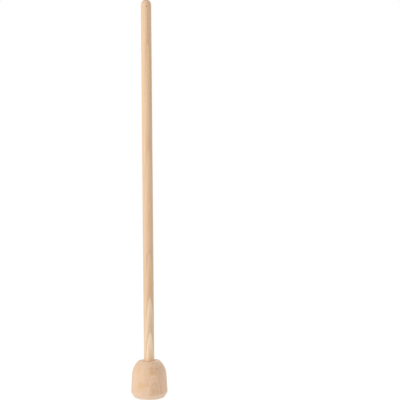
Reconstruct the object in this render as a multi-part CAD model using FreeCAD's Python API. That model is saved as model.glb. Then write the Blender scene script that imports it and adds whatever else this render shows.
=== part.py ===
"""Kraut stomper: a long round wooden handle glued into the socket of a turned wooden head.

Millimetres, +Z up the handle. The origin is the centre of the flat foot that meets the cabbage.
Every solid is turned about the Z axis from a half profile of radii and heights.
"""
import math
import os

import FreeCAD, Part

# Whole tool
TOTAL_LENGTH = 950.0         # from the foot to the top of the handle's domed tip

# Handle, a sanded round rod
HANDLE_DIAMETER = 25.0
TIP_HEIGHT = 14.5            # height of the domed tip
HANDLE_END_BEVEL = 1.5       # 45 degree bevel round the end that sits in the socket

# Head, from the foot upwards
HEAD_HEIGHT = 87.5
HEAD_DIAMETER = 87.2         # across the belly, measured to its corner before the corner is rounded
FOOT_BEVEL_HEIGHT = 13.0     # height of the bevel that runs in from the belly to the foot
FOOT_BEVEL_WIDTH = 8.3       # how far the bevel runs in
WALL_HEIGHT = 41.8           # straight wall above the belly
WALL_LEAN = 2.4              # how far the wall leans in over its height
TOP_LEDGE = 11.2             # width of the flat ring round the handle
FOOT_ROUND = 5.0             # radius of the edge round the foot
BELLY_ROUND = 8.0            # radius of the edge round the belly
RIM_ROUND = 2.0              # radius of the edge between the domed shoulder and the flat ring

# Socket in the head, drilled from above, and the glue in it
SOCKET_DEPTH = 50.0
COUNTERSINK = 1.5            # 45 degree countersink round the socket's mouth
GLUE_LINE = 0.3              # glue between the handle and the socket, at the side and underneath
DRILL_POINT_DIAMETER = 6.0   # small cone that the drill's centre point leaves in the floor
DRILL_POINT_DEPTH = 2.0

# Worked out from the sizes above
HANDLE_RADIUS = HANDLE_DIAMETER / 2
SOCKET_RADIUS = HANDLE_RADIUS + GLUE_LINE
MOUTH_RADIUS = SOCKET_RADIUS + COUNTERSINK
RIM_RADIUS = MOUTH_RADIUS + TOP_LEDGE
BELLY_RADIUS = HEAD_DIAMETER / 2
FOOT_RADIUS = BELLY_RADIUS - FOOT_BEVEL_WIDTH
SHOULDER_RADIUS = BELLY_RADIUS - WALL_LEAN
SHOULDER_START = FOOT_BEVEL_HEIGHT + WALL_HEIGHT
SOCKET_FLOOR = HEAD_HEIGHT - SOCKET_DEPTH
GLUE_TOP = HEAD_HEIGHT - COUNTERSINK
HANDLE_END = SOCKET_FLOOR + GLUE_LINE

SAME_PLACE = 1e-6            # two points this near are one


def at(radius, height):
    """Point of a half profile."""
    return FreeCAD.Vector(radius, 0, height)


def arc_about(centre, start, end):
    """Arc from start to end about a centre."""
    outwards = (start + end - centre * 2).normalize()
    middle = centre + outwards * start.distanceToPoint(centre)
    return Part.Arc(start, middle, end).toShape()


def dome(radius, bottom, top):
    """Quarter ellipse that leaves the side of a rod upright and crosses the axis level."""
    curve = Part.BezierCurve()
    curve.setPoles([at(radius, bottom), at(radius, top), at(0, top)])
    curve.setWeight(2, math.sqrt(0.5))
    return curve.toShape()


def rounded_corner(before, corner, after, radius):
    """Arc that rounds the corner between the straight lines from before and to after."""
    back = (before - corner).normalize()
    onwards = (after - corner).normalize()
    half_angle = back.getAngle(onwards) / 2
    reach = radius / math.tan(half_angle)
    centre = corner + (back + onwards).normalize() * (radius / math.sin(half_angle))
    return arc_about(centre, corner + back * reach, corner + onwards * reach)


def domed_shoulder(belly, start, rim):
    """Arc that carries the wall on smoothly towards the rim, and the small round that ends it level."""
    wall = start - belly
    inwards = FreeCAD.Vector(-wall.z, 0, wall.x).normalize()
    chord = rim - start
    radius = chord.dot(chord) / (2 * chord.dot(inwards))
    centre = start + inwards * radius
    rise = rim.z - RIM_ROUND - centre.z
    rim_centre = centre + at(math.sqrt((radius - RIM_ROUND) ** 2 - rise ** 2), rise)
    meeting = centre + (rim_centre - centre).normalize() * radius
    return arc_about(centre, start, meeting), arc_about(rim_centre, meeting, at(rim_centre.x, rim.z))


def first_point(piece):
    """Start of an arc, or the point itself."""
    return piece.firstVertex().Point if isinstance(piece, Part.Edge) else piece


def last_point(piece):
    """End of an arc, or the point itself."""
    return piece.lastVertex().Point if isinstance(piece, Part.Edge) else piece


def turned(*pieces):
    """Solid turned about the Z axis from points and arcs, joined in a ring by straight lines."""
    edges = []
    for here, following in zip(pieces, pieces[1:] + pieces[:1]):
        if isinstance(here, Part.Edge):
            edges.append(here)
        if not last_point(here).isEqual(first_point(following), SAME_PLACE):
            edges.append(Part.makeLine(last_point(here), first_point(following)))
    profile = Part.Face(Part.Wire(edges))
    return profile.revolve(FreeCAD.Vector(0, 0, 0), FreeCAD.Vector(0, 0, 1), 360)


def socket_points():
    """The socket's floor and side, from the axis up to the top of the glue."""
    return (at(0, SOCKET_FLOOR - DRILL_POINT_DEPTH), at(DRILL_POINT_DIAMETER / 2, SOCKET_FLOOR),
            at(SOCKET_RADIUS, SOCKET_FLOOR), at(SOCKET_RADIUS, GLUE_TOP))


def handle_end_points():
    """The handle's end in the socket, from the axis out to its side."""
    return (at(0, HANDLE_END), at(HANDLE_RADIUS - HANDLE_END_BEVEL, HANDLE_END),
            at(HANDLE_RADIUS, HANDLE_END + HANDLE_END_BEVEL))


def handle():
    """Round rod with a bevelled lower end and a domed tip."""
    return turned(*handle_end_points(), dome(HANDLE_RADIUS, TOTAL_LENGTH - TIP_HEIGHT, TOTAL_LENGTH))


def head():
    """Turned block: bevelled foot, leaning wall, domed shoulder, flat top and a blind socket."""
    foot_centre = at(0, 0)
    foot = at(FOOT_RADIUS, 0)
    belly = at(BELLY_RADIUS, FOOT_BEVEL_HEIGHT)
    shoulder = at(SHOULDER_RADIUS, SHOULDER_START)
    rim = at(RIM_RADIUS, HEAD_HEIGHT)
    mouth = at(MOUTH_RADIUS, HEAD_HEIGHT)
    return turned(foot_centre,
                  rounded_corner(foot_centre, foot, belly, FOOT_ROUND),
                  rounded_corner(foot, belly, shoulder, BELLY_ROUND),
                  *domed_shoulder(belly, shoulder, rim),
                  mouth,
                  *reversed(socket_points()))


def glue_bond():
    """Cured glue that fills the socket round and under the handle, up to the countersink."""
    return turned(*socket_points(), at(HANDLE_RADIUS, GLUE_TOP), *reversed(handle_end_points()))


os.makedirs("parts", exist_ok=True)
for make in (handle, head, glue_bond):
    make().exportStep(f"parts/{make.__name__}.step")
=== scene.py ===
"""Looks of a kraut stomper: a sanded beech rod glued into a turned beech head, in a white studio."""
import logging
import math
from dataclasses import dataclass
from enum import Enum

import bmesh
import bpy
from mathutils import Matrix, Vector


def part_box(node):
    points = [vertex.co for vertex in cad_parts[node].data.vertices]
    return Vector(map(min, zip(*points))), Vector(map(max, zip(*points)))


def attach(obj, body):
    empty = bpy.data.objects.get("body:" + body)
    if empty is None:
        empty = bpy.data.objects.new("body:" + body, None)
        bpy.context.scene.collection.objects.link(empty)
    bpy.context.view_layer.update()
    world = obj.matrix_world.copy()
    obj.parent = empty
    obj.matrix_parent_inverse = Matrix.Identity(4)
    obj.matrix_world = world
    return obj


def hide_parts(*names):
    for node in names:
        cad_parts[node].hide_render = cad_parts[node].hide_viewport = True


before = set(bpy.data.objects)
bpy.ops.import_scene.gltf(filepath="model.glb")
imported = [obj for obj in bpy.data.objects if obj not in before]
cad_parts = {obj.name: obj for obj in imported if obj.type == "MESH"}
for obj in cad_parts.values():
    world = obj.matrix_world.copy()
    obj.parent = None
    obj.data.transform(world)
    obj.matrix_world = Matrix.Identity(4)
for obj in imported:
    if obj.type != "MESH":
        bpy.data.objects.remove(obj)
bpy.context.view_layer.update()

log = logging.getLogger("kraut_stomper")

Colour = tuple[float, float, float, float]

MM = 0.001                        # a millimetre in metres
ROOT = "root"                     # the one body that every piece rides on
GLUE_NODE = "glue_bond"

SAME_PLACE = 0.01 * MM            # a point this near a place is taken to be there
MERGE_DISTANCE = 0.001 * MM       # points this near each other become one
SMOOTH_ANGLE = math.radians(20)   # faces that meet at less than this are shaded as one curve

NOISE_MIDDLE = 0.5                # a noise's mean value
NOISE_RANGE = (0.25, 0.75)        # nearly all of a noise's values lie between these
RAY_RANGE = (0.1, 0.3)            # ends of a ray's core and of its edge, as shares of its cell
PORE_RANGE = (0.08, 0.24)         # the same for a pore
MARK_RANGE = (0.45, 0.9)          # ends of a mark's core and of its edge, as shares of its size
MARK_RAGGEDNESS = 0.35            # how far noise moves a mark's edge, as a share of its size
MARK_NOISE_SCALE = 5.0            # patches of that noise across a mark
END_GRAIN_RANGE = (0.3, 1.0)      # upright share of the normal where end grain begins and is full

# Share of the ring, and how dark the wood is there: pale early wood, then the late wood that ends the ring
LATE_WOOD_STOPS = ((0.0, 0.0), (0.5, 0.25), (0.92, 1.0), (1.0, 0.0))


class Edge(Enum):
    """How the edge between two turned faces is finished, told as the number of steps across it."""

    CUT = 1
    ROUNDED = 6


def linear(hex_colour: str) -> Colour:
    """Turn an sRGB hex colour to the linear colour that a shader takes.

    Args:
        hex_colour: Six hex digits, such as "EBCBA6".

    Returns:
        Linear red, green and blue, and an alpha of 1.
    """
    channels = [int(hex_colour[start:start + 2], 16) / 255 for start in (0, 2, 4)]
    red, green, blue = [c / 12.92 if c <= 0.04045 else ((c + 0.055) / 1.055) ** 2.4 for c in channels]
    return red, green, blue, 1.0


def add_node(tree: bpy.types.NodeTree, kind: str, inputs: dict[int | str, object],
             **settings: object) -> bpy.types.NodeSocket:
    """Add a node with its settings and links.

    Args:
        tree: The node tree that gets the node.
        kind: The node's type, without ShaderNode in front.
        inputs: Values or sockets, each under its input's number or identifier.
        **settings: The node's own settings.

    Returns:
        The node's first output in use, or None if it has no output.
    """
    node = tree.nodes.new("ShaderNode" + kind)
    for name, value in settings.items():
        setattr(node, name, value)
    by_identifier = {socket.identifier: socket for socket in node.inputs}
    for key, value in inputs.items():
        socket = node.inputs[key] if isinstance(key, int) else by_identifier[key]
        if isinstance(value, bpy.types.NodeSocket):
            tree.links.new(value, socket)
        else:
            socket.default_value = value
    return next((socket for socket in node.outputs if socket.enabled), None)


def set_stops(ramp: bpy.types.ColorRamp, stops: list[tuple[float, Colour]]) -> None:
    """Give a colour ramp its stops.

    Args:
        ramp: The ramp of a Color Ramp node.
        stops: Places from 0 to 1 in rising order, each with a linear colour.
    """
    while len(ramp.elements) < len(stops):
        ramp.elements.new(1.0)
    for element, (place, colour) in zip(ramp.elements, stops):
        element.position = place
        element.color = colour


@dataclass(frozen=True)
class Mark:
    """A small patch of colour laid into the wood: a natural mark such as a pin knot or a warm stain, or
    painted light or shade. Sizes are in millimetres.
    """

    place: tuple[float, float, float]
    across: float
    along: float
    colour: str
    strength: float


@dataclass(frozen=True)
class SolidWood:
    """Bare wood whose figure runs through the whole piece, as growth rings do through a turned block.

    Sizes are in millimetres. The rings are numbered outwards, and they come out on the bark side as
    arches, one above the other.
    """

    name: str
    ring_colours: tuple[tuple[float, str], ...]         # ring number and colour, in rising order
    late_wood: str                                      # colour of the thin line that ends a ring
    late_strength: float
    bark_side: float                                    # way that the bark side faces, in degrees from +X
    pith_behind: float                                  # how far the pith lies behind the axis
    face_radius: float                                  # how far in front of the axis the arches show
    ring_width: float
    waviness: float                                     # how far the rings sway
    streak_strength: float
    fibre_strength: float
    fleck_colour: str
    fleck_strength: float
    pore_strength: float
    end_grain: str                                      # colour where the fibres are cut across
    end_strength: float
    roughness: float
    marks: tuple[Mark, ...] = ()
    ior: float = 1.5
    first_arch: float = 0.0                             # height at which ring 0 comes out, where rings lean
    rings_down: float = 0.0                             # rings that come out in each millimetre below it
    rings_down_growth: float = 0.0                      # how much that grows in each millimetre
    tool_marks: float = 0.0                             # height of the rings that the lathe's tool left
    sway_size: tuple[float, float] = (30, 120)          # across and along the grain
    streak_size: tuple[float, float] = (3.5, 90)
    fibre_size: tuple[float, float] = (0.5, 16)
    ray_cell: tuple[float, float, float] = (16, 1.3, 4.5)    # outwards, round the pith and upwards
    pore_cell: tuple[float, float, float] = (0.6, 0.6, 4.0)
    late_relief: float = 0.03
    fibre_relief: float = 0.04
    pore_relief: float = -0.05
    tool_marks_per_mm: float = 0.9

    def material(self) -> bpy.types.Material:
        """Build the material.

        Returns:
            The new material.
        """
        material = bpy.data.materials.new(self.name)
        material.use_nodes = True
        tree = material.node_tree
        shader = tree.nodes["Principled BSDF"]
        place = add_node(tree, "TexCoord", {}).node
        block = add_node(tree, "Mapping", {
            "Vector": place.outputs["Object"],
            "Rotation": (0, 0, math.radians(-self.bark_side)),
            "Scale": (1 / MM, 1 / MM, 1 / MM),
        })
        ring, round_pith = self._rings(tree, block)
        colour, relief = self._growth(tree, ring)
        colour = self._end_grain(tree, place.outputs["Normal"], colour)
        for mark in self.marks:
            colour = self._mark(tree, place.outputs["Object"], mark, colour)
        colour, relief = self._fibres(tree, block, colour, relief)
        colour = self._flecks(tree, round_pith, colour)
        colour, relief = self._pores(tree, block, colour, relief)
        if self.tool_marks:
            relief = self._lathe_marks(tree, block, relief)
        bump = add_node(tree, "Bump", {"Strength": 1.0, "Distance": MM, "Height": relief})
        tree.links.new(colour, shader.inputs["Base Color"])
        tree.links.new(bump, shader.inputs["Normal"])
        shader.inputs["Roughness"].default_value = self.roughness
        shader.inputs["IOR"].default_value = self.ior
        return material

    def _noise(self, tree: bpy.types.NodeTree, block: bpy.types.NodeSocket, across: float, along: float,
               detail: float = 2.0) -> bpy.types.NodeSocket:
        """Noise drawn out along the grain.

        Args:
            tree: The material's node tree.
            block: Place in the block, in millimetres.
            across: Width of a patch across the grain.
            along: Length of a patch along the grain.
            detail: How many finer layers it has.

        Returns:
            The noise, from 0 to 1.
        """
        stretched = add_node(tree, "VectorMath", {0: block, 1: (across, across, along)}, operation="DIVIDE")
        return add_node(tree, "TexNoise", {"Vector": stretched, "Scale": 1.0, "Detail": detail})

    def _rings(self, tree: bpy.types.NodeTree,
               block: bpy.types.NodeSocket) -> tuple[bpy.types.NodeSocket, bpy.types.NodeSocket]:
        """Count the growth rings outwards from the pith, and make them lean where they come out in arches.

        Args:
            tree: The material's node tree.
            block: Place in the block, in millimetres.

        Returns:
            The ring number, and the place told as distance from the pith, way round it and height.
        """
        waves = self._noise(tree, block, *self.sway_size).node.outputs["Color"]
        shift = add_node(tree, "VectorMath", {0: waves, 1: (NOISE_MIDDLE, NOISE_MIDDLE, NOISE_MIDDLE)},
                         operation="SUBTRACT")
        sway = add_node(tree, "VectorMath", {0: shift, 1: (self.waviness, self.waviness, 0)},
                        operation="MULTIPLY")
        from_pith = add_node(tree, "VectorMath", {0: block, 1: (self.pith_behind, 0, 0)}, operation="ADD")
        swayed = add_node(tree, "VectorMath", {0: from_pith, 1: sway}, operation="ADD")
        axes = add_node(tree, "SeparateXYZ", {0: swayed}).node.outputs
        flat = add_node(tree, "CombineXYZ", {0: axes[0], 1: axes[1], 2: 0.0})
        distance = add_node(tree, "VectorMath", {0: flat}, operation="LENGTH").node.outputs["Value"]
        outwards = add_node(tree, "Math", {0: distance, 1: self.pith_behind + self.face_radius},
                            operation="SUBTRACT")
        down = add_node(tree, "Math", {0: self.first_arch, 1: axes[2]}, operation="SUBTRACT")
        steeper = add_node(tree, "Math", {0: down, 1: self.rings_down_growth, 2: self.rings_down},
                           operation="MULTIPLY_ADD")
        arches = add_node(tree, "Math", {0: down, 1: steeper}, operation="MULTIPLY")
        ring = add_node(tree, "Math", {0: outwards, 1: 1 / self.ring_width, 2: arches},
                        operation="MULTIPLY_ADD")
        turn = add_node(tree, "Math", {0: axes[1], 1: axes[0]}, operation="ARCTAN2")
        way_round = add_node(tree, "Math", {0: turn, 1: self.pith_behind + self.face_radius},
                             operation="MULTIPLY")
        return ring, add_node(tree, "CombineXYZ", {0: distance, 1: way_round, 2: axes[2]})

    def _growth(self, tree: bpy.types.NodeTree,
                ring: bpy.types.NodeSocket) -> tuple[bpy.types.NodeSocket, bpy.types.NodeSocket]:
        """Colour each ring, from the pale early wood to the thin dark line of late wood that ends it.

        Args:
            tree: The material's node tree.
            ring: The ring number.

        Returns:
            The colour, and the relief in millimetres.
        """
        lowest, highest = self.ring_colours[0][0], self.ring_colours[-1][0]
        along_rings = add_node(tree, "MapRange", {0: ring, 1: lowest, 2: highest, 3: 0.0, 4: 1.0})
        base = add_node(tree, "ValToRGB", {0: along_rings})
        set_stops(base.node.color_ramp, [((number - lowest) / (highest - lowest), linear(colour))
                                         for number, colour in self.ring_colours])
        part = add_node(tree, "Math", {0: ring}, operation="FRACT")
        late = add_node(tree, "ValToRGB", {0: part})
        set_stops(late.node.color_ramp, [(share, (dark, dark, dark, 1.0))
                                         for share, dark in LATE_WOOD_STOPS])
        number = add_node(tree, "Math", {0: ring}, operation="FLOOR")
        luck = add_node(tree, "TexWhiteNoise", {"W": number}, noise_dimensions="1D").node.outputs["Value"]
        strength = add_node(tree, "MapRange", {0: luck, 1: 0.0, 2: 1.0, 3: self.late_strength / 2,
                                               4: self.late_strength})
        amount = add_node(tree, "Math", {0: late, 1: strength}, operation="MULTIPLY")
        colour = add_node(tree, "Mix", {"Factor_Float": amount, "A_Color": base,
                                        "B_Color": linear(self.late_wood)}, data_type="RGBA")
        return colour, add_node(tree, "Math", {0: late, 1: self.late_relief}, operation="MULTIPLY")

    def _fibres(self, tree: bpy.types.NodeTree, block: bpy.types.NodeSocket, colour: bpy.types.NodeSocket,
                relief: bpy.types.NodeSocket) -> tuple[bpy.types.NodeSocket, bpy.types.NodeSocket]:
        """Streak the wood along the grain, broadly and finely.

        Args:
            tree: The material's node tree.
            block: Place in the block, in millimetres.
            colour: The colour so far.
            relief: The relief so far.

        Returns:
            The streaked colour, and the relief with the fibres in it.
        """
        low, high = NOISE_RANGE
        for size, strength in ((self.streak_size, self.streak_strength),
                               (self.fibre_size, self.fibre_strength)):
            noise = self._noise(tree, block, *size, detail=3.0)
            level = add_node(tree, "MapRange", {0: noise, 1: low, 2: high,
                                                3: 1 - strength, 4: 1 + strength})
            colour = add_node(tree, "VectorMath", {0: colour, "Scale": level}, operation="SCALE")
        relief = add_node(tree, "Math", {0: noise, 1: self.fibre_relief, 2: relief},
                          operation="MULTIPLY_ADD")
        return colour, relief

    def _flecks(self, tree: bpy.types.NodeTree, round_pith: bpy.types.NodeSocket,
                colour: bpy.types.NodeSocket) -> bpy.types.NodeSocket:
        """Draw the rays, thin upright sheets that run out from the pith and show as small flecks.

        Real ones are 0.1 to 0.5 mm wide. They are drawn a little wider so that they show.

        Args:
            tree: The material's node tree.
            round_pith: Distance from the pith, way round it and height, in millimetres.
            colour: The colour so far.

        Returns:
            The colour with flecks.
        """
        core, edge = RAY_RANGE
        cells = add_node(tree, "VectorMath", {0: round_pith, 1: self.ray_cell}, operation="DIVIDE")
        near = add_node(tree, "TexVoronoi", {"Vector": cells, "Scale": 1.0}).node.outputs["Distance"]
        amount = add_node(tree, "MapRange", {0: near, 1: core, 2: edge, 3: self.fleck_strength, 4: 0.0})
        return add_node(tree, "Mix", {"Factor_Float": amount, "A_Color": colour,
                                      "B_Color": linear(self.fleck_colour)}, data_type="RGBA")

    def _pores(self, tree: bpy.types.NodeTree, block: bpy.types.NodeSocket, colour: bpy.types.NodeSocket,
               relief: bpy.types.NodeSocket) -> tuple[bpy.types.NodeSocket, bpy.types.NodeSocket]:
        """Open the pores, short scratches along the grain and dots on the end grain.

        Real ones are 0.08 mm wide. They are drawn two to three times as wide so that they show.

        Args:
            tree: The material's node tree.
            block: Place in the block, in millimetres.
            colour: The colour so far.
            relief: The relief so far.

        Returns:
            The colour, and the relief with the pores in it.
        """
        core, edge = PORE_RANGE
        cells = add_node(tree, "VectorMath", {0: block, 1: self.pore_cell}, operation="DIVIDE")
        near = add_node(tree, "TexVoronoi", {"Vector": cells, "Scale": 1.0}).node.outputs["Distance"]
        pore = add_node(tree, "MapRange", {0: near, 1: core, 2: edge, 3: 1.0, 4: 0.0})
        darker = add_node(tree, "Math", {0: pore, 1: -self.pore_strength, 2: 1.0}, operation="MULTIPLY_ADD")
        colour = add_node(tree, "VectorMath", {0: colour, "Scale": darker}, operation="SCALE")
        return colour, add_node(tree, "Math", {0: pore, 1: self.pore_relief, 2: relief},
                                operation="MULTIPLY_ADD")

    def _end_grain(self, tree: bpy.types.NodeTree, normal: bpy.types.NodeSocket,
                   colour: bpy.types.NodeSocket) -> bpy.types.NodeSocket:
        """Turn the colour to that of end grain where the surface cuts across the fibres.

        Args:
            tree: The material's node tree.
            normal: The surface's normal.
            colour: The colour so far.

        Returns:
            The colour with the end grain in it.
        """
        start, full = END_GRAIN_RANGE
        upright = add_node(tree, "SeparateXYZ", {0: normal}).node.outputs[2]
        across = add_node(tree, "Math", {0: upright}, operation="ABSOLUTE")
        amount = add_node(tree, "MapRange", {0: across, 1: start, 2: full, 3: 0.0, 4: self.end_strength},
                          interpolation_type="SMOOTHSTEP")
        return add_node(tree, "Mix", {"Factor_Float": amount, "A_Color": colour,
                                      "B_Color": linear(self.end_grain)}, data_type="RGBA")

    def _mark(self, tree: bpy.types.NodeTree, place: bpy.types.NodeSocket, mark: Mark,
              colour: bpy.types.NodeSocket) -> bpy.types.NodeSocket:
        """Lay one mark into the wood's colour, a natural mark or a patch of painted light or shade.

        Args:
            tree: The material's node tree.
            place: Place in the part's own frame, in metres.
            mark: The mark.
            colour: The colour so far.

        Returns:
            The colour with the mark.
        """
        centre = Vector(mark.place) * MM
        size = Vector((mark.across, mark.across, mark.along)) * MM
        away = add_node(tree, "VectorMath", {0: place, 1: centre}, operation="SUBTRACT")
        sized = add_node(tree, "VectorMath", {0: away, 1: size}, operation="DIVIDE")
        far = add_node(tree, "VectorMath", {0: sized}, operation="LENGTH").node.outputs["Value"]
        ragged = add_node(tree, "TexNoise", {"Vector": sized, "Scale": MARK_NOISE_SCALE, "Detail": 2.0})
        reach = add_node(tree, "Math", {0: ragged, 1: MARK_RAGGEDNESS, 2: far}, operation="MULTIPLY_ADD")
        core, edge = MARK_RANGE
        amount = add_node(tree, "MapRange", {0: reach, 1: core, 2: edge, 3: mark.strength, 4: 0.0},
                          interpolation_type="SMOOTHSTEP")
        return add_node(tree, "Mix", {"Factor_Float": amount, "A_Color": colour,
                                      "B_Color": linear(mark.colour)}, data_type="RGBA")

    def _lathe_marks(self, tree: bpy.types.NodeTree, block: bpy.types.NodeSocket,
                     relief: bpy.types.NodeSocket) -> bpy.types.NodeSocket:
        """Leave the faint rings that the turning tool cut and the sanding nearly took away.

        Args:
            tree: The material's node tree.
            block: Place in the block, in millimetres.
            relief: The relief so far.

        Returns:
            The relief with the rings in it.
        """
        axes = add_node(tree, "SeparateXYZ", {0: block}).node.outputs
        flat = add_node(tree, "CombineXYZ", {0: axes[0], 1: axes[1], 2: 0.0})
        radius = add_node(tree, "VectorMath", {0: flat}, operation="LENGTH").node.outputs["Value"]
        section = add_node(tree, "CombineXYZ", {0: radius, 1: 0.0, 2: axes[2]})
        rings = add_node(tree, "TexNoise", {"Vector": section, "Scale": self.tool_marks_per_mm,
                                            "Detail": 1.0})
        return add_node(tree, "Math", {0: rings, 1: self.tool_marks, 2: relief}, operation="MULTIPLY_ADD")


@dataclass(frozen=True)
class CuredGlue:
    """White wood glue, dried in a thin joint: hard, smoother than the wood and honey coloured."""

    name: str = "cured_wood_glue"
    pale: str = "E4CFA0"
    deep: str = "C9A567"
    cloud: float = 3.0       # size of a cloud of deeper colour, in millimetres
    roughness: float = 0.35
    ior: float = 1.47

    def material(self) -> bpy.types.Material:
        """Build the material.

        Returns:
            The new material.
        """
        material = bpy.data.materials.new(self.name)
        material.use_nodes = True
        tree = material.node_tree
        shader = tree.nodes["Principled BSDF"]
        place = add_node(tree, "TexCoord", {}).node
        noise = add_node(tree, "TexNoise", {"Vector": place.outputs["Object"],
                                            "Scale": 1 / (self.cloud * MM)})
        colour = add_node(tree, "Mix", {"Factor_Float": noise, "A_Color": linear(self.pale),
                                        "B_Color": linear(self.deep)}, data_type="RGBA")
        tree.links.new(colour, shader.inputs["Base Color"])
        shader.inputs["Roughness"].default_value = self.roughness
        shader.inputs["IOR"].default_value = self.ior
        return material


# A beech rod, sanded along the grain. It is matt and even, so the eye sees thin ring lines, long faint
# streaks and tiny flecks, and no shine.
BEECH_ROD = SolidWood(
    name="sanded_beech_rod",
    ring_colours=(
        (-0.6, "EBC8A5"), (-0.14, "EAC6A2"), (-0.05, "E8C29C"), (-0.01, "E8C19A"), (0.03, "EDCBA5"),
        (0.1, "EDCCA4"), (0.2, "EBC9A5"), (0.6, "EBC8A5"), (0.85, "EAC6A2"), (0.98, "E3BD9B"),
        (1.02, "EFCCAA"), (1.5, "ECC9A7"), (1.88, "EAC6A3"), (1.94, "EECAA6"), (2.0, "EBC7A2"),
        (2.2, "E9C6A0"), (2.5, "EBC8A5"), (2.8, "E8C5A2"), (2.9, "E0BC9B"), (2.96, "ECCBAA"),
        (3.2, "EBC8A5"), (3.5, "E9C6A1"), (4.04, "E6C29E"), (4.1, "F8DCBE"), (4.3, "F7DABC"),
        (4.5, "EED1B0"), (4.9, "E9CBAA"), (5.01, "E6C6A6"), (5.06, "FFE6C5"), (5.5, "FDDFBE"),
        (5.8, "EFCDAC"), (7.0, "EBC8A6"),
    ),
    late_wood="B98755",
    late_strength=0.12,
    bark_side=-74.0,
    pith_behind=15.0,
    face_radius=12.5,
    ring_width=3.2,
    first_arch=851.0,
    rings_down=0.00196,
    rings_down_growth=7.58e-6,
    waviness=0.6,
    streak_strength=0.03,
    fibre_strength=0.04,
    fleck_colour="B98A5E",
    fleck_strength=0.2,
    pore_strength=0.10,
    end_grain="EAC7A8",
    end_strength=0.8,
    roughness=0.6,
    marks=(
        # Pin knot under the tip, and the streaks that run down beside it
        Mark(place=(1.4, -12.4, 931.4), across=2.5, along=3.2, colour="85542B", strength=0.9),
        Mark(place=(3.4, -12, 893), across=3.6, along=56, colour="E6BE96", strength=0.8),
        Mark(place=(-6, -11, 905), across=2.8, along=74, colour="E9C199", strength=0.9),
        Mark(place=(-4.3, -11.7, 885), across=2.4, along=90, colour="EFCCA8", strength=0.7),
        Mark(place=(7.8, -9.8, 914), across=5, along=14, colour="E9CD9F", strength=0.8),
        # Dark tongue above the first arch, and the paler wood round it
        Mark(place=(3, -12.1, 854), across=4.6, along=32, colour="E4B992", strength=0.85),
        Mark(place=(2.4, -12.2, 847), across=2.8, along=14, colour="DCB085", strength=0.85),
        Mark(place=(2.7, -12.2, 837.5), across=3, along=14, colour="F2CDA7", strength=0.7),
        Mark(place=(-2.8, -12.1, 830), across=2.6, along=34, colour="E5BD98", strength=0.8),
        Mark(place=(4.8, -11.5, 813), across=4.6, along=40, colour="EBCEA0", strength=0.8),
        # Long warm streak at the right, and the calm wood below it
        Mark(place=(9.5, -8.1, 742), across=4.6, along=170, colour="E4BA8C", strength=0.9),
        Mark(place=(1.5, -12.4, 692), across=5, along=100, colour="ECC9A9", strength=0.7),
        Mark(place=(-4, -11.8, 616), across=4, along=60, colour="E6C39D", strength=0.8),
        Mark(place=(4.6, -11.6, 604), across=3, along=30, colour="E3BD9A", strength=0.8),
        # Stains on the lower arches
        Mark(place=(2.4, -12.3, 455.5), across=4, along=11, colour="F4D0AB", strength=0.9),
        Mark(place=(2.6, -12.2, 432), across=3.4, along=40, colour="E4C296", strength=0.9),
        Mark(place=(3.2, -12.1, 373), across=5, along=46, colour="EBC8AA", strength=0.8),
        Mark(place=(-1, -12.4, 357), across=3.4, along=11, colour="E4C19A", strength=0.9),
        Mark(place=(-3.2, -12.1, 328), across=3.4, along=34, colour="DEB491", strength=0.9),
        # Stains low on the rod
        Mark(place=(3, -12.1, 282), across=3.2, along=60, colour="E3BC95", strength=0.9),
        Mark(place=(3.8, -11.9, 271), across=4.6, along=22, colour="E3BF91", strength=0.9),
        Mark(place=(1.2, -12.4, 252), across=2.8, along=28, colour="DCB697", strength=0.9),
        Mark(place=(2.6, -12.2, 168), across=6, along=3, colour="E0C0A0", strength=0.8),
        Mark(place=(4, -11.8, 174), across=6, along=3, colour="E3C2A2", strength=0.8),
        # Paler wood at the lower left and just above the joint
        Mark(place=(-8.8, -8.9, 190), across=5, along=100, colour="EECDA7", strength=0.8),
        Mark(place=(-10.2, -7.2, 128), across=6.5, along=90, colour="F1D4B4", strength=0.9),
        Mark(place=(-6.6, -10.6, 122), across=1.6, along=46, colour="E8C6A1", strength=0.8),
        Mark(place=(0.2, -12.5, 104), across=4.6, along=40, colour="F5D0AA", strength=0.8),
        Mark(place=(0, -12.5, 87), across=26, along=9, colour="EDCFAF", strength=0.7),
    ),
)

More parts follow.
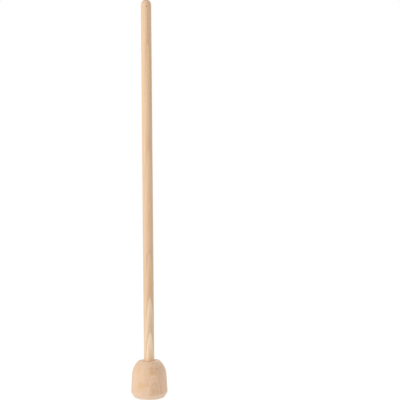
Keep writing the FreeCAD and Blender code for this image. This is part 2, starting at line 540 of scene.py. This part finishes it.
# A beech block, turned and then sanded on the lathe. It is a little pinker and smoother than the rod, and
# the front, which faces the bark, shows arches, small flecks and the last of the tool's rings.
BEECH_BLOCK = SolidWood(
    name="turned_beech_block",
    ring_colours=(
        (-3.0, "F0CCAA"), (-1.0, "EFCAA8"), (-0.5, "E9C4A2"), (-0.1, "E5BE9D"), (0.0, "F9D5B6"),
        (0.45, "F7D2B3"), (0.7, "EFCBA9"), (1.85, "EFCBA9"), (2.1, "E5BF9A"), (2.35, "E6C09C"),
        (2.5, "F0CBAB"), (3.0, "EFC9A9"), (3.3, "E8C19D"), (5.0, "E9C29E"),
    ),
    late_wood="B07F5C",
    late_strength=0.15,
    bark_side=-74.0,
    pith_behind=150.0,
    face_radius=40.69,
    ring_width=0.65,
    waviness=0.4,
    streak_strength=0.025,
    fibre_strength=0.03,
    fleck_colour="A9754F",
    fleck_strength=0.3,
    pore_strength=0.10,
    end_grain="F3D6B8",
    end_strength=0.5,
    tool_marks=0.02,
    roughness=0.58,
    marks=(
        # Paler, greyer wood round the foot and up the lower wall: painted light from the white floor below,
        # its glow and its reflection
        Mark(place=(0, 0, -14), across=140, along=62, colour="ECD6C1", strength=0.9),
        # On the flat ring at the top: painted shade at the left of the rod and a painted highlight at the
        # right
        Mark(place=(-20, -3, 90), across=30, along=14, colour="ECD0B3", strength=0.8),
        Mark(place=(19, -5, 90), across=22, along=14, colour="F5DAC0", strength=0.85),
        # Paler, bluer wood at both sides: painted reflection of the white surroundings on the sides that
        # turn away
        Mark(place=(33.5, -24.5, 47), across=18.5, along=58.5, colour="F2CEB2", strength=0.85),
        Mark(place=(-35.5, -21, 47), across=14.5, along=51.5, colour="EFCEB2", strength=0.8),
        # Paler wood high on the shoulder: painted highlight where the shoulder faces up to the light
        Mark(place=(22.5, -17.5, 83.5), across=13, along=12, colour="F5D6BB", strength=0.8),
        Mark(place=(-8.5, -20.5, 88.5), across=31, along=7.5, colour="F4D1AF", strength=0.8),
        # Warm wood on both sides of the smoky stain
        Mark(place=(-7, -39, 63.5), across=16.5, along=12, colour="EAC69E", strength=0.8),
        Mark(place=(-23.5, -29, 70.5), across=7, along=31, colour="E9C39E", strength=0.8),
        Mark(place=(13, -37.5, 63.5), across=15.5, along=10, colour="E7BF97", strength=0.8),
        # Smoky stain over the arches, with a pale dot in it
        Mark(place=(6, -38, 67.5), across=10.5, along=17.5, colour="E3B991", strength=0.8),
        Mark(place=(5, -34, 75.5), across=6.5, along=6, colour="E0B790", strength=0.75),
        Mark(place=(9, -35, 73), across=24, along=4.8, colour="E4BC98", strength=0.85),
        Mark(place=(18, -32, 71.5), across=10, along=5.5, colour="E4B996", strength=0.75),
        Mark(place=(12, -35, 70.5), across=4.4, along=4.4, colour="F2CBAB", strength=0.8),
        Mark(place=(24.5, -31.5, 62), across=6, along=14.5, colour="E6C3A1", strength=0.7),
        # Dark and pale lines along the legs of the arches
        Mark(place=(24, -33.5, 47.5), across=3.1, along=22, colour="E5BC9E", strength=0.75),
        Mark(place=(27, -33, 26), across=3.3, along=24, colour="E5BA9E", strength=0.8),
        Mark(place=(22, -35.5, 41), across=2.9, along=18.5, colour="F3CAB0", strength=0.8),
        Mark(place=(24, -35.5, 24.5), across=3.3, along=18.5, colour="F3CAB0", strength=0.8),
        Mark(place=(-4, -42.5, 21.5), across=3.5, along=22, colour="F4CEAF", strength=0.8),
        # Dark spot beside the joint: painted shadow of the rod in the countersink at its right
        Mark(place=(13.5, -3.5, 87), across=5, along=5, colour="CEAC8C", strength=0.85),
        # Olive, brown and orange stains at the lower left
        Mark(place=(-24, -35.5, 25.5), across=13, along=16.5, colour="EAC6A1", strength=0.8),
        Mark(place=(-21.5, -36.5, 35.5), across=14.5, along=17.5, colour="E8C095", strength=0.85),
        Mark(place=(-20, -37, 32), across=6, along=11, colour="E6BD90", strength=0.55),
        Mark(place=(-7, -41.5, 37.5), across=13, along=11, colour="E9C097", strength=0.85),
        Mark(place=(-13.5, -40, 35), across=8, along=8, colour="EEBE95", strength=0.8),
        # Small grey and brown specks on the shoulder
        Mark(place=(-15.5, -29.5, 78), across=6.5, along=6.5, colour="EBCBB1", strength=0.8),
        Mark(place=(7.5, -27, 84), across=3.5, along=3.5, colour="D3AA84", strength=0.85),
        # Wood under the arches and within the smallest one
        Mark(place=(-13.5, -41, 17.5), across=22, along=6.5, colour="F1C9AB", strength=0.7),
        Mark(place=(9.5, -42, 22.5), across=10, along=14.5, colour="E6BC94", strength=0.8),
        Mark(place=(7.5, -42.5, 14), across=19, along=4.4, colour="E7BC9A", strength=0.8),
        Mark(place=(27, -34, 17), across=8, along=7.5, colour="E7BD9B", strength=0.7),
        # Warm wood beside the arches and above the brown speck
        Mark(place=(-6.5, -41, 48), across=11, along=18.5, colour="EAC4A1", strength=0.7),
        Mark(place=(8, -21.5, 88), across=3.5, along=9, colour="E4BC99", strength=0.7),
    ),
)


@dataclass
class TurnedPiece:
    """A piece of wood turned about the upright axis, modelled ring by ring."""

    name: str
    node: str
    slot: str
    finish: SolidWood
    sides: int

    def _start(self, radius: float, bottom: float, top: float) -> None:
        """Add the blank, an upright cylinder, and open it for editing with its top face selected.

        Args:
            radius: Radius of the blank.
            bottom: Height of its lower end.
            top: Height of its upper end.
        """
        bpy.ops.object.select_all(action="DESELECT")
        bpy.ops.mesh.primitive_cylinder_add(vertices=self.sides, radius=radius, depth=top - bottom,
                                            location=(0, 0, (bottom + top) / 2))
        bpy.ops.object.transform_apply(location=True, rotation=True, scale=True)
        bpy.context.object.name = self.name
        bpy.ops.object.mode_set(mode="EDIT")
        self._select_faces(top)

    def _select_faces(self, height: float) -> None:
        """Select only the level faces at a height.

        Args:
            height: The faces' height.
        """
        bpy.ops.mesh.select_mode(type="FACE")
        bpy.ops.mesh.select_all(action="DESELECT")
        mesh = bpy.context.object.data
        shape = bmesh.from_edit_mesh(mesh)
        for face in shape.faces:
            level = all(abs(vertex.co.z - height) < SAME_PLACE for vertex in face.verts)
            face.select_set(level)
        bmesh.update_edit_mesh(mesh)

    def _select_ring(self, radius: float, height: float) -> None:
        """Select only the ring of edges at a radius and a height.

        Args:
            radius: The ring's radius.
            height: The ring's height.
        """
        bpy.ops.mesh.select_mode(type="EDGE")
        bpy.ops.mesh.select_all(action="DESELECT")
        mesh = bpy.context.object.data
        shape = bmesh.from_edit_mesh(mesh)
        for edge in shape.edges:
            on_ring = all(abs(vertex.co.z - height) < SAME_PLACE and
                          abs(vertex.co.xy.length - radius) < SAME_PLACE for vertex in edge.verts)
            edge.select_set(on_ring)
        bmesh.update_edit_mesh(mesh)

    def _extrude(self, rise: float, widen: float, height: float) -> None:
        """Draw the selected end on by one step and widen or narrow it.

        Args:
            rise: How far the end goes up.
            widen: The end's new radius as a share of the old one.
            height: The height that the end comes to.
        """
        bpy.ops.mesh.extrude_region_move(TRANSFORM_OT_translate={"value": (0, 0, rise)})
        bpy.ops.transform.resize(value=(widen, widen, 1), center_override=(0, 0, height))

    def _follow(self, stations: list[tuple[float, float]], radius: float, height: float) -> None:
        """Draw the selected end through several stations.

        Args:
            stations: Radius and height of each ring.
            radius: The end's radius at the start.
            height: The end's height at the start.
        """
        for next_radius, next_height in stations:
            self._extrude(next_height - height, next_radius / radius, next_height)
            radius, height = next_radius, next_height

    def _round(self, radius: float, height: float, round_radius: float, turn: float, edge: Edge) -> None:
        """Round or bevel the ring of edges at a corner of the profile.

        Args:
            radius: The corner's radius from the axis.
            height: The corner's height.
            round_radius: Radius of the round.
            turn: Angle by which the profile turns at the corner.
            edge: How the edge is finished.
        """
        self._select_ring(radius, height)
        bpy.ops.mesh.bevel(offset=round_radius * math.tan(turn / 2), segments=edge.value, affect="EDGES")

    def _finish(self) -> bpy.types.Object:
        """Close the edit, smooth the shading, dress the piece and put it in the frame.

        Returns:
            The finished piece.
        """
        bpy.ops.mesh.select_all(action="SELECT")
        bpy.ops.mesh.remove_doubles(threshold=MERGE_DISTANCE)
        bpy.ops.mesh.normals_make_consistent(inside=False)
        bpy.ops.object.mode_set(mode="OBJECT")
        bpy.ops.object.shade_smooth_by_angle(angle=SMOOTH_ANGLE)
        piece = bpy.context.object
        piece.data.materials.append(self.finish.material())
        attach(piece, ROOT)
        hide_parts(self.node)
        return piece


@dataclass
class Handle(TurnedPiece):
    """The rod: a straight side, a bevel on the hidden end and a domed tip."""

    end_bevel: float = 1.5 * MM
    tip_height: float = 14.5 * MM
    dome_rings: int = 14

    def build(self) -> bpy.types.Object:
        """Model the rod.

        Returns:
            The finished piece.
        """
        low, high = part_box(self.node)
        radius = (high.x - low.x) / 2
        dome_start = high.z - self.tip_height
        self._start(radius, low.z, dome_start)
        angles = [math.pi / 2 * step / self.dome_rings for step in range(1, self.dome_rings)]
        stations = [(radius * math.cos(angle), dome_start + self.tip_height * math.sin(angle))
                    for angle in angles]
        self._follow(stations, radius, dome_start)
        self._extrude(high.z - stations[-1][1], 1.0, high.z)
        bpy.ops.mesh.merge(type="CENTER")
        self._round(radius, low.z, self.end_bevel, math.pi / 2, Edge.CUT)
        return self._finish()


@dataclass
class Head(TurnedPiece):
    """The block: bevelled foot, leaning wall, domed shoulder and a socket for the rod."""

    bevel_height: float = 13.0 * MM
    bevel_width: float = 8.3 * MM
    belly_radius: float = 43.6 * MM
    wall_height: float = 41.8 * MM
    wall_lean: float = 2.4 * MM
    ledge: float = 11.2 * MM
    countersink: float = 1.5 * MM
    foot_round: float = 5.0 * MM
    belly_round: float = 8.0 * MM
    rim_round: float = 2.0 * MM
    foot_inset: float = 1.0 * MM     # flat ring that keeps the shading of the foot level
    dome_rings: int = 18

    def build(self) -> bpy.types.Object:
        """Model the block.

        Returns:
            The finished piece.
        """
        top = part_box(self.node)[1].z
        glue_low, glue_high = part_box(GLUE_NODE)
        socket_radius = glue_high.x
        mouth = socket_radius + self.countersink
        rim = mouth + self.ledge
        foot = self.belly_radius - self.bevel_width
        shoulder = self.belly_radius - self.wall_lean
        shoulder_start = self.bevel_height + self.wall_height
        self._start(foot, 0.0, self.bevel_height)
        bpy.ops.transform.resize(value=(self.belly_radius / foot, self.belly_radius / foot, 1),
                                 center_override=(0, 0, self.bevel_height))
        self._follow([(shoulder, shoulder_start)], self.belly_radius, self.bevel_height)
        dome, dome_end = self._dome(shoulder, shoulder_start, rim, top)
        self._follow(dome, shoulder, shoulder_start)
        socket = [(mouth, top), (socket_radius, top - self.countersink), (socket_radius, glue_low.z)]
        self._follow(socket, rim, top)
        bpy.ops.mesh.poke()
        foot_slope = math.atan2(self.bevel_height, self.bevel_width)
        wall_slope = math.atan2(self.wall_height, -self.wall_lean)
        self._round(foot, 0.0, self.foot_round, foot_slope, Edge.ROUNDED)
        self._round(self.belly_radius, self.bevel_height, self.belly_round, wall_slope - foot_slope,
                    Edge.ROUNDED)
        self._round(rim, top, self.rim_round, math.pi - dome_end, Edge.ROUNDED)
        self._select_faces(0.0)
        bpy.ops.mesh.inset(thickness=self.foot_inset)
        bpy.ops.mesh.poke()
        return self._finish()

    def _dome(self, radius: float, height: float, rim: float,
              top: float) -> tuple[list[tuple[float, float]], float]:
        """Work out the shoulder's arc, which carries the wall on smoothly to the rim.

        Args:
            radius: Radius at the arc's start.
            height: Height of the arc's start.
            rim: Radius at the arc's end.
            top: Height of the arc's end.

        Returns:
            Radius and height of each ring, and the slope at the rim.
        """
        lean = math.atan2(self.wall_lean, self.wall_height)
        inwards = Vector((-math.cos(lean), -math.sin(lean)))
        chord = Vector((rim - radius, top - height))
        reach = chord.length_squared / (2 * chord.dot(inwards))
        centre = Vector((radius, height)) + inwards * reach
        last = math.atan2(top - centre.y, rim - centre.x)
        angles = [lean + (last - lean) * step / self.dome_rings for step in range(1, self.dome_rings + 1)]
        stations = [(centre.x + reach * math.cos(angle), centre.y + reach * math.sin(angle))
                    for angle in angles]
        return stations, last + math.pi / 2


@dataclass
class GlueBond:
    """The glue in the socket. Its ring shows at the bottom of the countersink."""

    node: str = GLUE_NODE
    finish: CuredGlue = CuredGlue()

    def dress(self) -> None:
        """Give the glue its finish."""
        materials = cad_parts[self.node].data.materials
        materials.clear()
        materials.append(self.finish.material())


@dataclass(frozen=True)
class SoftBox:
    """A soft lamp that faces the tool. Sizes are in metres, angles in degrees and power in watts."""

    name: str
    power: float
    azimuth: float
    elevation: float
    distance: float = 2.2
    width: float = 1.6
    height: float = 2.0
    aim: float = 0.6         # height on the tool that it faces

    def hang(self) -> None:
        """Hang the lamp at its azimuth to the right of the camera and its elevation above the aim."""
        turn, rise = math.radians(self.azimuth), math.radians(self.elevation)
        level = math.cos(rise)
        towards = Vector((math.sin(turn) * level, -math.cos(turn) * level, math.sin(rise)))
        bpy.ops.object.light_add(type="AREA", location=Vector((0, 0, self.aim)) + towards * self.distance)
        lamp = bpy.context.object
        lamp.name = self.name
        lamp.data.shape = "RECTANGLE"
        lamp.data.size = self.width
        lamp.data.size_y = self.height
        lamp.data.energy = self.power
        lamp.rotation_euler = (-towards).to_track_quat("-Z", "Y").to_euler()


@dataclass
class Studio:
    """A glowing white floor, white surroundings, a key lamp at the left and a weak one at the back."""

    floor_size: float = 12.0       # metres
    floor_colour: str = "F8F7F5"
    floor_white: float = 0.85      # share of glow in the floor that is seen, the rest takes the shadow
    floor_glow: float = 0.5        # share of glow in the floor that lights the tool
    floor_shine: float = 1.1       # strength of that glow
    surroundings: float = 0.53     # strength of the room's light
    key: SoftBox = SoftBox("key_lamp", power=22.8, azimuth=-57.0, elevation=15.0)
    back: SoftBox = SoftBox("back_lamp", power=13.0, azimuth=150.0, elevation=10.0)

    def build(self) -> None:
        """Set up the floor, the surroundings and the lamps."""
        self._floor()
        self._surroundings()
        for lamp in (self.key, self.back):
            lamp.hang()

    def _seen(self, tree: bpy.types.NodeTree) -> bpy.types.NodeSocket:
        """Tell the rays that see the white from those that carry the room's light.

        Args:
            tree: The node tree that needs it.

        Returns:
            1 for camera, glossy and transmission rays, otherwise 0.
        """
        path = add_node(tree, "LightPath", {}).node.outputs
        mirrored = add_node(tree, "Math", {0: path["Is Camera Ray"], 1: path["Is Glossy Ray"]},
                            operation="MAXIMUM")
        return add_node(tree, "Math", {0: mirrored, 1: path["Is Transmission Ray"]}, operation="MAXIMUM")

    def _floor(self) -> None:
        """Lay a white floor that still takes a soft shadow."""
        bpy.ops.object.select_all(action="DESELECT")
        bpy.ops.mesh.primitive_plane_add(size=self.floor_size)
        floor = bpy.context.object
        floor.name = "floor"
        material = bpy.data.materials.new("white_floor")
        material.use_nodes = True
        tree = material.node_tree
        tree.nodes.clear()
        matt = add_node(tree, "BsdfDiffuse", {"Color": linear(self.floor_colour)})
        white = add_node(tree, "Emission", {"Color": (1, 1, 1, 1), "Strength": self.floor_shine})
        share = add_node(tree, "MapRange", {0: self._seen(tree), 1: 0.0, 2: 1.0, 3: self.floor_glow,
                                            4: self.floor_white})
        surface = add_node(tree, "MixShader", {0: share, 1: matt, 2: white})
        add_node(tree, "OutputMaterial", {"Surface": surface})
        floor.data.materials.append(material)

    def _surroundings(self) -> None:
        """Make the surroundings white to the eye and even as light."""
        world = bpy.data.worlds.new("white_room")
        world.use_nodes = True
        tree = world.node_tree
        tree.nodes.clear()
        light = add_node(tree, "Background", {"Color": (1, 1, 1, 1), "Strength": self.surroundings})
        white = add_node(tree, "Background", {"Color": (1, 1, 1, 1), "Strength": 1.0})
        surface = add_node(tree, "MixShader", {0: self._seen(tree), 1: light, 2: white})
        add_node(tree, "OutputWorld", {"Surface": surface})
        bpy.context.scene.world = world


@dataclass
class Camera:
    """A level camera in front of the tool, turned a little so that the tool stands left of the middle.

    Sizes are in metres, the lens in millimetres and angles in degrees. The roll gives the tool its lean.
    """

    distance: float = 2.25
    height: float = 0.4698
    lens: float = 84.63
    yaw: float = 3.182
    roll: float = 0.50

    def build(self) -> None:
        """Put up the camera and look through it."""
        bpy.ops.object.camera_add(location=(0, -self.distance, self.height))
        camera = bpy.context.object
        camera.name = "camera"
        camera.data.lens = self.lens
        upright = Matrix.Rotation(math.radians(90), 4, "X")
        level = Matrix.Rotation(math.radians(-self.yaw), 4, "Z") @ upright
        turned = level @ Matrix.Rotation(math.radians(-self.roll), 4, "Z")
        camera.rotation_euler = turned.to_euler()
        bpy.context.scene.camera = camera


def main() -> None:
    """Build the part's pieces and the studio in order."""
    logging.basicConfig(level=logging.INFO, format="%(name)s: %(message)s")
    bpy.context.scene.view_settings.view_transform = "Standard"
    Camera().build()
    log.info("camera is up")
    handle = Handle(name="beech_handle", node="handle", slot="handle_wood", finish=BEECH_ROD,
                    sides=96).build()
    log.info("%s has %d faces", handle.name, len(handle.data.polygons))
    head = Head(name="beech_head", node="head", slot="head_wood", finish=BEECH_BLOCK,
                sides=160).build()
    log.info("%s has %d faces", head.name, len(head.data.polygons))
    GlueBond().dress()
    log.info("glue is dressed")
    Studio().build()
    log.info("studio is lit")


if __name__ == "__main__":
    main()
